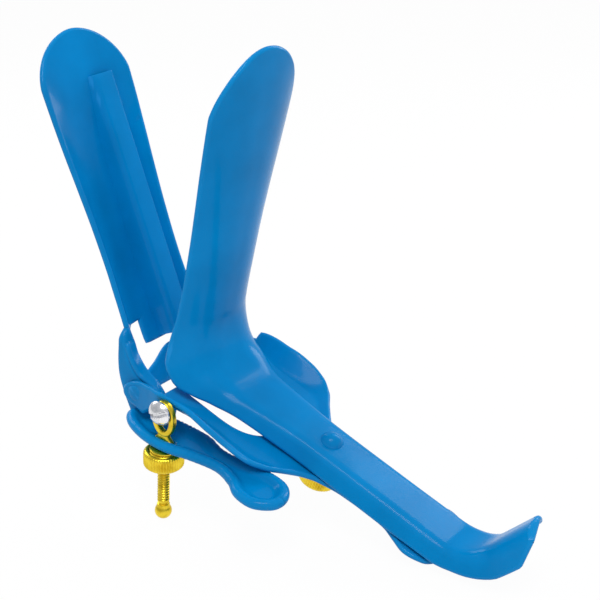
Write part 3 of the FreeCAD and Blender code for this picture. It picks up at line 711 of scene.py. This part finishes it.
def upper_blade():
    """The lower blade's mirror image in section, with a tongue, two straps that end in the ears,
    and a foot band below the window. Rows shrink to the superellipse of the tip."""
    h = sheet / 2
    slot_top, tongue_end = 17.2, 9.6
    z_keys = np.concatenate([[-4.2, 2.0, 7.0, 12.0, 18.0], blade_z[::-1]])
    arc_turns, arc_radii = arc_form(blade_half, upper_depth)

    # values below the blade's own rows: half width, rise, depth, turn and radius
    columns = [([17.6, 17.3, 16.8, 16.1, 15.4], blade_half),
               ([5.7, 5.9, 6.1, 6.3, 6.4], upper_depth),
               ([10.8, 9.6, 8.2, 7.2, 6.6], upper_depth),
               (np.radians([74, 68, 60, 52, 46]), arc_turns),
               ([10.0, 10.5, 11.5, 14.0, 16.5], arc_radii)]

    def row_values(z):
        return [through(z_keys, np.concatenate([low, rest[::-1]]), z) for low, rest in columns]

    def place(length, z, values):
        half, rise, depth, turn, radius = values
        side = np.maximum((depth - radius * (1 - np.cos(turn))) / np.sin(turn), 0)
        flat = np.maximum(half - radius * np.sin(turn) - side * np.cos(turn), 0)
        x, drop = section(length, flat, radius, turn, side, h)
        return x, upper_edge_y + rise - drop, z + 0 * x, flat + (radius - h) * turn + side - h

    tip_angle = np.linspace(0, math.pi / 2, 34)
    tip_rows = blade_length - h - (upper_tip["length"] - h) * (1 - np.cos(tip_angle))
    z = np.concatenate([tip_rows, np.arange(tip_rows[-1] - 1.2, slot_top + 0.6, -1.2), [slot_top]])
    values = row_values(z)
    whole = place(np.zeros(len(z)), z, values)[3]

    def allowed(length):
        x, _, level, _ = place(length, z, values)
        return in_tip(x, level, upper_tip) | (level < 60)

    reach = last_way(allowed, whole)
    reach[0] = 0.0

    def share_of(x):
        lengths = np.linspace(0, whole[-1], 400)
        last = [v[-1] for v in values]
        xs = place(lengths, np.full(400, slot_top), last)[0]
        return math.copysign(np.interp(abs(x), xs, lengths) / whole[-1], x)

    marks = [-1.0, share_of(-10.2), share_of(-3.6), share_of(9.8), share_of(14.2), 1.0]
    counts = [9, 4, 15, 3, 6]
    share = np.concatenate([np.linspace(a, b, n)[:-1] for a, b, n in zip(marks, marks[1:], counts)]
                           + [[1.0]])
    starts = np.cumsum([0] + [n - 1 for n in counts])

    def skin(zz, vals, way_all, shares):
        k = (slice(None), None)
        x, y, level, _ = place(np.abs(shares)[None, :] * way_all[k], zz[k], [v[k] for v in vals])
        return from_upper(np.stack([np.sign(shares)[None, :] * x, y, level], axis=-1))

    main = skin(z, values, reach, share)
    tongue_z = np.linspace(slot_top, tongue_end, 8)
    tongue_values = row_values(tongue_z)
    tongue_way = np.full(8, whole[-1])
    tongue = skin(tongue_z, tongue_values, tongue_way, share[starts[2]:starts[3] + 1])

    keys = [0, 0.15, 0.32, 0.52, 0.75, 1.0]
    near_row = main[-1, :starts[1] + 1]
    near = strap(near_row, keys,
                 [near_row[-1], (-11.0, 14.9, 5.0), (-12.0, 12.0, 2.6), (-13.4, 6.3, 0.9),
                  (-14.4, 1.2, -0.9), (-15.2, -5.2, -4.6)],
                 [near_row[0], (-16.4, 13.4, 7.4), (-16.8, 9.8, 3.0), (-16.8, 5.4, -0.2),
                  (-16.8, -0.4, -1.2), (-16.8, -6.8, -6.2)],
                 [near_row[0], (-16.9, 14.7, 7.2), (-16.8, 14.0, 2.0), (-16.8, 12.9, -2.4),
                  (-16.8, 10.4, -7.2), (-16.8, 5.9, -13.2)], 10, True)
    far_row = main[-1, starts[4]:]
    far = strap(far_row, keys,
                [far_row[0], (15.0, 13.6, 4.4), (15.9, 9.6, 3.1), (16.2, 4.4, 2.0),
                 (16.3, -0.4, 0.2), (16.4, -1.9, -3.2)],
                [far_row[-1], (16.5, 12.6, 5.2), (16.8, 8.6, 4.0), (16.8, 4.0, 2.8),
                 (16.8, -1.2, 0.8), (16.8, -2.3, -3.4)],
                [far_row[-1], (16.8, 13.9, 3.8), (16.8, 13.9, 0.4), (16.8, 12.4, -3.4),
                 (16.8, 9.4, -8.0), (16.8, 3.6, -9.3)], 10, False)

    foot_share = np.linspace(-0.93, 0.93, 41)
    x_near = foot_share * 17.5
    top = through([-17.5, -13, -9.4, -4, 4.0, 9.0, 13.4, 17.5],
                  [3.5, 1.0, -0.2, 1.8, 5.6, 4.2, 1.6, 3.5], x_near)
    part = np.linspace(0, 1, 8)
    foot_z = -3.4 + (top + 3.4)[None, :] * part[:, None]
    foot_values = [v.reshape(foot_z.shape) for v in row_values(foot_z.ravel())]
    foot_way = place(np.zeros_like(foot_z), foot_z, foot_values)[3]
    x, y, level, _ = place(np.abs(foot_share)[None, :] * foot_way, foot_z, foot_values)
    foot = from_upper(np.stack([np.sign(foot_share)[None, :] * x, y, level], axis=-1))
    surfaces = rolled_sheet([main, tongue, near, far], sheet) + rolled_sheet([foot], sheet)
    return put_in_scene("upper_blade_and_ears", surfaces, "upper", blue_coat, ["upper_blade"])


def thumb_lever():
    """Dished lever: rows run between the left and right halves of a smooth outline, and the height
    is a smooth step of the distance from the outline, so that the edge curls up. The screw's slot
    is a lens that opens between two columns. The tab stands on its inner edge."""
    outline = np.array([
        (-19.6, 18.0), (-23.8, 14.5), (-26.9, 6.5), (-27.6, -2.0), (-26.1, -10.5), (-25.6, -19.0),
        (-28.0, -25.5), (-31.4, -30.5), (-32.4, -37.0), (-29.0, -42.2), (-24.0, -42.8),
        (-19.4, -39.4), (-17.6, -33.0), (-17.8, -25.0), (-17.4, -16.0), (-14.6, -8.0), (-14.0, 4.0),
        (-15.2, 15.0)])
    count = len(outline)
    part = np.linspace(0, 1, 24, endpoint=False)[None, :, None]
    p0, p1, p2, p3 = (np.roll(outline, k, axis=0)[:, None] for k in (1, 0, -1, -2))
    line = 0.5 * (2 * p1 + (p2 - p0) * part + (2 * p0 - 5 * p1 + 4 * p2 - p3) * part ** 2
                  + (3 * p1 - p0 - 3 * p2 + p3) * part ** 3)
    line = line.reshape(count * 24, 2)
    ahead = unit(np.roll(line, -1, axis=0) - np.roll(line, 1, axis=0))
    line = line + np.stack([-ahead[:, 1], ahead[:, 0]], axis=-1) * 1.45
    high, low = np.argmax(line[:, 1]), np.argmin(line[:, 1])
    line = np.roll(line, -high, axis=0)
    low = (low - high) % len(line)
    left, right = line[:low + 1], np.concatenate([line[low:], line[:1]])[::-1]
    top_y, low_y = line[0, 1], line[low, 1]
    turn = np.linspace(0, math.pi, 130)
    y = (top_y + low_y) / 2 + (top_y - low_y) / 2 * np.cos(turn)
    x_left = np.interp(-y, -left[:, 1], left[:, 0])
    x_right = np.interp(-y, -right[:, 1], right[:, 0])
    x_right[[0, -1]] = x_left[[0, -1]]
    wide = x_right - x_left
    spine = np.interp(-y, [-18, -9, -6, 4, 13, 25, 37, 43],
                      [-19.6, -23.4, -24.6, -24.6, -22.2, -22.8, -25.2, -25.0])
    spine = np.clip(spine, x_left + 0.2 * wide, x_right - 0.2 * wide)
    slot_low, slot_high, slot_half = -3.4, 5.6, 2.9
    middle_y, reach = (slot_low + slot_high) / 2, (slot_high - slot_low) / 2 + 0.8
    gap = slot_half * np.sqrt(np.clip(1 - np.abs((y - middle_y) / reach) ** 3, 0, 1))
    spacing = np.sin(np.linspace(0, 1, 15) * math.pi / 2)[None, ::-1]
    depth_in = 1 - spacing
    sides = []
    for edge, sign in ((x_left, -1.0), (x_right, 1.0)):
        inner = spine + sign * np.minimum(gap, np.abs(edge - spine) * 0.62)
        x = edge[:, None] + (inner - edge)[:, None] * depth_in
        sides.append(x)
    grids, beads = [], []
    for x, flip in zip(sides, (False, True)):
        yy = y[:, None] + 0 * x
        flat_places = np.stack([x, yy], axis=-1)
        far = np.sqrt(((flat_places[:, :, None] - line[None, None, ::3]) ** 2).sum(-1)).min(-1)
        level = 0.85 * (1 - fade(far / 3.2)) - 0.12 * fade(far / 8) - 0.9
        points = np.stack([x, yy, level], axis=-1)
        bead = 0.7 * (1 - fade(far / 2.2))
        grids.append(points if not flip else points[:, ::-1])
        beads.append(bead if not flip else bead[:, ::-1])

    def on_lever(points):
        lowered = points - np.array([0, 0, lever_drop])
        return turn_x(lowered, -side_lean, (0, pivot_place[1], pivot_place[2]))

    dish = rolled_sheet([on_lever(g) for g in grids], sheet, 11, beads)
    tab_y = np.linspace(-6.6, 5.8, 20)
    tab_top = through([-6.6, -0.6, 0.8, 6.6], [-6.4, -6.4, -8.6, -8.6], tab_y)
    tab_low = -12.9 - 0.02 * tab_y
    up = np.linspace(0, 1, 8)[:, None]
    tab = np.stack([np.full((8, 20), -15.2), tab_y[None] + 0 * up,
                    tab_low[None] + (tab_top - tab_low)[None] * up], axis=-1)
    return put_in_scene("dished_thumb_lever", dish + rolled_sheet([tab], sheet), "upper", blue_coat,
                        ["thumb_lever"])


def yoke():
    """Two mirrored halves that share the stem's middle line: each row runs from the window's or
    the slot's edge over the flat floor to the foot and up the rim. The ears are upright bands
    between a bottom and a top line."""
    stem_start, stem_lean = -36.0, 0.041
    y = np.concatenate([np.arange(-6.4, -34, -0.7), np.arange(-34.0, -46.2, -0.35),
                        np.arange(-46.2, -70.5, -0.8), np.arange(-70.5, -75.0, -0.35),
                        np.arange(-75.0, -86.0, -0.8),
                        -86.0 - 8.0 * np.sin(np.linspace(0, math.pi / 2, 22))])
    foot_y = [-94.0, -92.8, -90.0, -85.0, -80.5, -76.0, -70.0, -62.0, -54.0, -50.0, -47.0, -43.0,
              -38.0, -34.0, -30.0, -25.0, -18.0, -12.0, -6.3]
    foot_x = {-1.0: [0.0, 6.0, 10.2, 11.4, 9.8, 8.0, 7.4, 7.5, 8.9, 10.9, 13.2, 16.4,
                     18.2, 18.4, 18.4, 18.2, 18.4, 19.6, 20.6],
              1.0: [0.0, 6.0, 10.2, 11.4, 9.8, 8.0, 7.4, 7.5, 7.7, 8.0, 8.4, 9.8,
                    13.4, 17.0, 18.2, 18.4, 18.4, 19.6, 20.6]}
    rim_y = [-94.0, -54.0, -50.0, -46.0, -42.0, -38.0, -34.0, -30.0, -25.0, -19.0, -14.0, -9.0,
             -6.0]
    rim_reach = {-1.0: [0.0, 0.2, 0.9, 2.2, 3.4, 4.0, 4.2, 4.2, 4.2, 3.6, 2.8, 2.4, 2.2],
                 1.0: [0.0, 0.0, 0.0, 0.3, 1.6, 3.0, 4.2, 4.9, 5.2, 5.0, 4.2, 3.2, 2.4]}
    rim_rise = {-1.0: [0.0, 0.2, 0.8, 1.6, 2.3, 2.8, 3.1, 3.2, 3.3, 3.4, 3.3, 2.9, 2.7],
                1.0: [0.0, 0.0, 0.0, 0.2, 0.8, 1.2, 1.7, 3.1, 4.3, 4.9, 4.6, 4.0, 3.2]}
    end = np.clip((-y - 84.0) / 10.0, 0, 1)
    end_x = np.where(end > 0, 11.6 * (1 - end ** 2.6) ** (1 / 2.6) + 1e-9, 40.0)
    window = 13.9 * np.sqrt(np.clip(1 - (np.clip(-y - 18.0, 0, None) / 18.8) ** 3.4, 0, 1))
    slot_middle, slot_reach = -58.6, 14.6
    slot = 3.1 * np.clip(1 - np.abs((y - slot_middle) / slot_reach) ** 14, 0, 1) ** (1 / 3)
    inner = np.where(y > -37, window, slot)
    lean = np.maximum(0.0, stem_start - y) * stem_lean
    # the slot runs straight along the handle, through the screw, while the stem leans
    at_screw = (stem_start - handle_screw_y) * stem_lean
    slot_lean = lean + (at_screw - lean) * fade((y + 84.0) / 8.0) * fade((-37.0 - y) / 4.0)
    floor_part = np.linspace(0, 1, 15)
    wall_part = np.linspace(0, 1, 9)[1:]
    halves = []
    for sign in (-1.0, 1.0):
        foot = np.minimum(through(foot_y, foot_x[sign], y), end_x)
        foot[-1] = 0.0
        foot = np.maximum(foot, inner)
        floor_x = inner[:, None] + (foot - inner)[:, None] * floor_part
        wall_x = foot[:, None] + through(rim_y, rim_reach[sign], y)[:, None] * wall_part
        x = np.concatenate([floor_x, wall_x], axis=1)
        x[-1] = 0.0
        rise = through(rim_y, rim_rise[sign], y)[:, None] * wall_part
        level = np.concatenate([0 * floor_x, rise], axis=1)
        for _ in range(3):
            level[:, 1:-1] = (level[:, :-2] + 2 * level[:, 1:-1] + level[:, 2:]) / 4
        outward = np.concatenate([floor_part, np.ones(len(wall_part))])
        shift = slot_lean[:, None] + (lean - slot_lean)[:, None] * outward
        points = np.stack([sign * x + shift, y[:, None] + 0 * x, level - 7.0], axis=-1)
        points = from_handle(points)
        halves.append(points if sign > 0 else points[:, ::-1])
    surfaces = rolled_sheet(halves, sheet)
    ear_y = 8.6 - 20.0 * (1 - np.cos(np.linspace(0, math.pi / 2, 46)))
    top = through([-12, -8, 3.4, 6.5, 9.4], [1.9, 2.5, -0.7, -2.2, -3.6], ear_y)
    low = through([-12, -7, -4, -1.7, 0.6, 9.4], [-0.7, -1.4, -2.0, -5.2, -8.0, -8.0], ear_y)
    nose = np.sqrt(np.clip(1 - (np.clip(ear_y - 4.6, 0, None) / 4.0) ** 2.4, 0, 1))
    centre = (top + low) / 2
    top, low = centre + (top - centre) * nose, centre + (low - centre) * nose
    outside = through([-14, -10, -6, -1, 4.5, 10], [22.7, 22.8, 22.4, 20.9, 19.7, 19.5], ear_y)
    out = outside - sheet / 2
    up = np.linspace(0, 1, 20)
    for sign in (-1.0, 1.0):
        z = low[:, None] + (top - low)[:, None] * up
        ear = np.stack([sign * out[:, None] + 0 * z, ear_y[:, None] + 0 * z, z], axis=-1)
        surfaces += rolled_sheet([ear if sign > 0 else ear[:, ::-1]], sheet)
    return put_in_scene("sliding_yoke", surfaces, "slider", blue_coat, ["yoke"])


def smoke_channel():
    """Tube along the blade's inside: a closed section of a soft cubic curve on the left, a flat
    front and a tight quarter circle on the right. The outer skin runs up and the inner one back."""
    left, right, front, wall = 1.7, 9.4, 5.4, 0.8
    low_end, high_end = 9.6, 87.5
    z = np.concatenate([np.linspace(low_end, high_end - 0.3, 60), [high_end]])[:, None]
    half = through(blade_z[::-1], blade_half[::-1], z)
    depth = through(blade_z[::-1], upper_depth[::-1], z)
    t = np.linspace(0, 1, 20)[None, :]
    quarter = np.linspace(0, math.pi / 2, 7)[None, :]

    def loop(inset):
        def ceiling(x):
            return upper_edge_y + depth * (1 - (x / half) ** 2) - 0.3 - inset

        x0, x1, low, r = left + inset, right - inset, front + inset, 0.45
        foot_x, foot_y = x0 - 1.5, ceiling(x0 - 1.5)
        first, last = (1 - t) ** 3, t ** 3
        second, third = 3 * (1 - t) ** 2 * t, 3 * (1 - t) * t ** 2
        soft_x = foot_x * first + x0 * second + x0 * third + (x0 + 2.4) * last
        soft_y = (foot_y * first + (foot_y - 0.4 * (foot_y - low)) * second
                  + low * (third + last))
        corner_x, corner_y = x1 - r + r * np.sin(quarter), low + r - r * np.cos(quarter)
        back_x = np.linspace(x1, foot_x, 9)[None, :-1]
        parts_x = [soft_x + 0 * z, corner_x + 0 * z, back_x + 0 * z]
        parts_y = [soft_y, corner_y + 0 * z, ceiling(back_x)]
        x, y = np.concatenate(parts_x, axis=1), np.concatenate(parts_y, axis=1)
        return np.stack([x, np.maximum(y, low), z + 0 * x], axis=-1)

    outer, inner = loop(0.0), loop(wall)
    points = from_upper(np.concatenate([outer, inner[::-1], outer[:1]]))
    surface = points, grid_faces(len(points), points.shape[1], closed=True)
    return put_in_scene("smoke_channel_tube", [surface], "upper", blue_coat, ["smoke_channel"], 50)


def hinge_pins():
    """Flush hinge pins: a shank and a head that stands a hair proud of the ear, turned about X."""
    pin_y, pin_z = hinge_y / MM, hinge_z / MM
    for sign, node in ((-1.0, "hinge_rivet_left"), (1.0, "hinge_rivet_right")):
        height = np.array([15.2, 15.2, 15.6, 19.2, 19.3, 19.78, 19.92, 19.99, 20.0])
        radius = np.array([0.0, 1.5, 1.6, 1.6, 2.3, 2.4, 2.1, 1.1, 0.0])
        surface = turned(height, radius, 48)

        def along_x(p):
            return np.stack([sign * p[..., 2], p[..., 0] + pin_y, p[..., 1] + pin_z], axis=-1)

        put_in_scene("flush_" + node, [moved(surface, along_x)], "slider", blue_coat, [node])


lower_blade_handle()
upper_blade()
thumb_lever()
yoke()
smoke_channel()
hinge_pins()
side_screw()
nuts()
pivot_head()


# Floor, lamps and camera


def backdrop(name, brightness):
    """White to the eye and in reflections, a plain pale surface to the light."""
    material = bpy.data.materials.new(name)
    material.use_nodes = True
    tree = material.node_tree
    tree.nodes.clear()
    out = tree.nodes.new("ShaderNodeOutputMaterial")
    pale = tree.nodes.new("ShaderNodeBsdfDiffuse")
    pale.inputs["Color"].default_value = (0.86, 0.86, 0.86, 1)
    white = tree.nodes.new("ShaderNodeEmission")
    white.inputs["Color"].default_value = (1, 1, 1, 1)
    path = tree.nodes.new("ShaderNodeLightPath")
    seen = tree.nodes.new("ShaderNodeMath")
    seen.operation = "MAXIMUM"
    tree.links.new(path.outputs["Is Camera Ray"], seen.inputs[0])
    tree.links.new(path.outputs["Is Glossy Ray"], seen.inputs[1])
    part = tree.nodes.new("ShaderNodeMath")
    part.operation = "MULTIPLY"
    part.inputs[1].default_value = brightness
    tree.links.new(seen.outputs[0], part.inputs[0])
    mix = tree.nodes.new("ShaderNodeMixShader")
    tree.links.new(part.outputs[0], mix.inputs["Fac"])
    tree.links.new(pale.outputs[0], mix.inputs[1])
    tree.links.new(white.outputs[0], mix.inputs[2])
    tree.links.new(mix.outputs[0], out.inputs["Surface"])
    return material


floor_size = 3.0
floor_mesh = bpy.data.meshes.new("floor")
half = floor_size / 2
floor_mesh.from_pydata([(-half, -half, 0), (half, -half, 0), (half, half, 0), (-half, half, 0)], [],
                       [(0, 1, 2, 3)])
floor = bpy.data.objects.new("floor", floor_mesh)
floor.location.z = -0.0001
floor_mesh.materials.append(backdrop("pale_floor", 0.965))
bpy.context.scene.collection.objects.link(floor)

world = bpy.data.worlds.new("studio")
bpy.context.scene.world = world
world.use_nodes = True
sky = world.node_tree
sky.nodes.clear()
sky_out = sky.nodes.new("ShaderNodeOutputWorld")
room = sky.nodes.new("ShaderNodeBackground")
room.inputs["Color"].default_value = (0.95, 0.97, 1.0, 1)
room.inputs["Strength"].default_value = 0.55
paper = sky.nodes.new("ShaderNodeBackground")
paper.inputs["Color"].default_value = (1, 1, 1, 1)
paper.inputs["Strength"].default_value = 1.0
path = sky.nodes.new("ShaderNodeLightPath")
chosen = sky.nodes.new("ShaderNodeMixShader")
sky.links.new(path.outputs["Is Camera Ray"], chosen.inputs["Fac"])
sky.links.new(room.outputs[0], chosen.inputs[1])
sky.links.new(paper.outputs[0], chosen.inputs[2])
sky.links.new(chosen.outputs[0], sky_out.inputs["Surface"])

middle = Vector([(a + b) / 2 for a, b in zip(*cad_box)])


def soft_box(name, place, size, power, colour=(1, 1, 1)):
    """Square lamp that faces the middle of the instrument."""
    lamp = bpy.data.lights.new(name, "AREA")
    lamp.shape = "RECTANGLE"
    lamp.size, lamp.size_y = size
    lamp.energy = power
    lamp.color = colour
    holder = bpy.data.objects.new(name, lamp)
    holder.location = middle + Vector(place)
    holder.rotation_euler = (-Vector(place)).to_track_quat("-Z", "Y").to_euler()
    bpy.context.scene.collection.objects.link(holder)


soft_box("key_lamp", (-0.25, -0.20, 0.55), (0.28, 0.28), 2.3)
soft_box("right_lamp", (0.55, -0.10, 0.25), (0.20, 0.40), 1.4)
soft_box("back_lamp", (0.10, 0.55, 0.35), (0.40, 0.30), 1.4)

# Camera solved from the photograph's outlines, in the instrument's frame
camera_place = (-258.1025, -177.5753, 229.1626)
camera_right = (0.59698892, -0.77534207, 0.20603133)
camera_down = (-0.32969324, -0.47123849, -0.81806886)
camera_ahead = (0.73137309, 0.4204509, -0.5369492)
focal_share = 1323 / 600
sensor = 36.0
axes = [turn_x(np.array(a), math.degrees(tilt)) for a in (camera_right, camera_down, camera_ahead)]
placed = Matrix([
    (axes[0][0], -axes[1][0], -axes[2][0]),
    (axes[0][1], -axes[1][1], -axes[2][1]),
    (axes[0][2], -axes[1][2], -axes[2][2]),
]).to_4x4()
placed.translation = Vector(to_row(camera_place))
lens = bpy.data.cameras.new("camera")
lens.sensor_width = sensor
lens.lens = focal_share * sensor
lens.clip_start, lens.clip_end = 0.01, 20.0
camera = bpy.data.objects.new("camera", lens)
camera.matrix_world = placed
bpy.context.scene.collection.objects.link(camera)
bpy.context.scene.camera = camera
bpy.context.scene.view_settings.view_transform = "Standard"
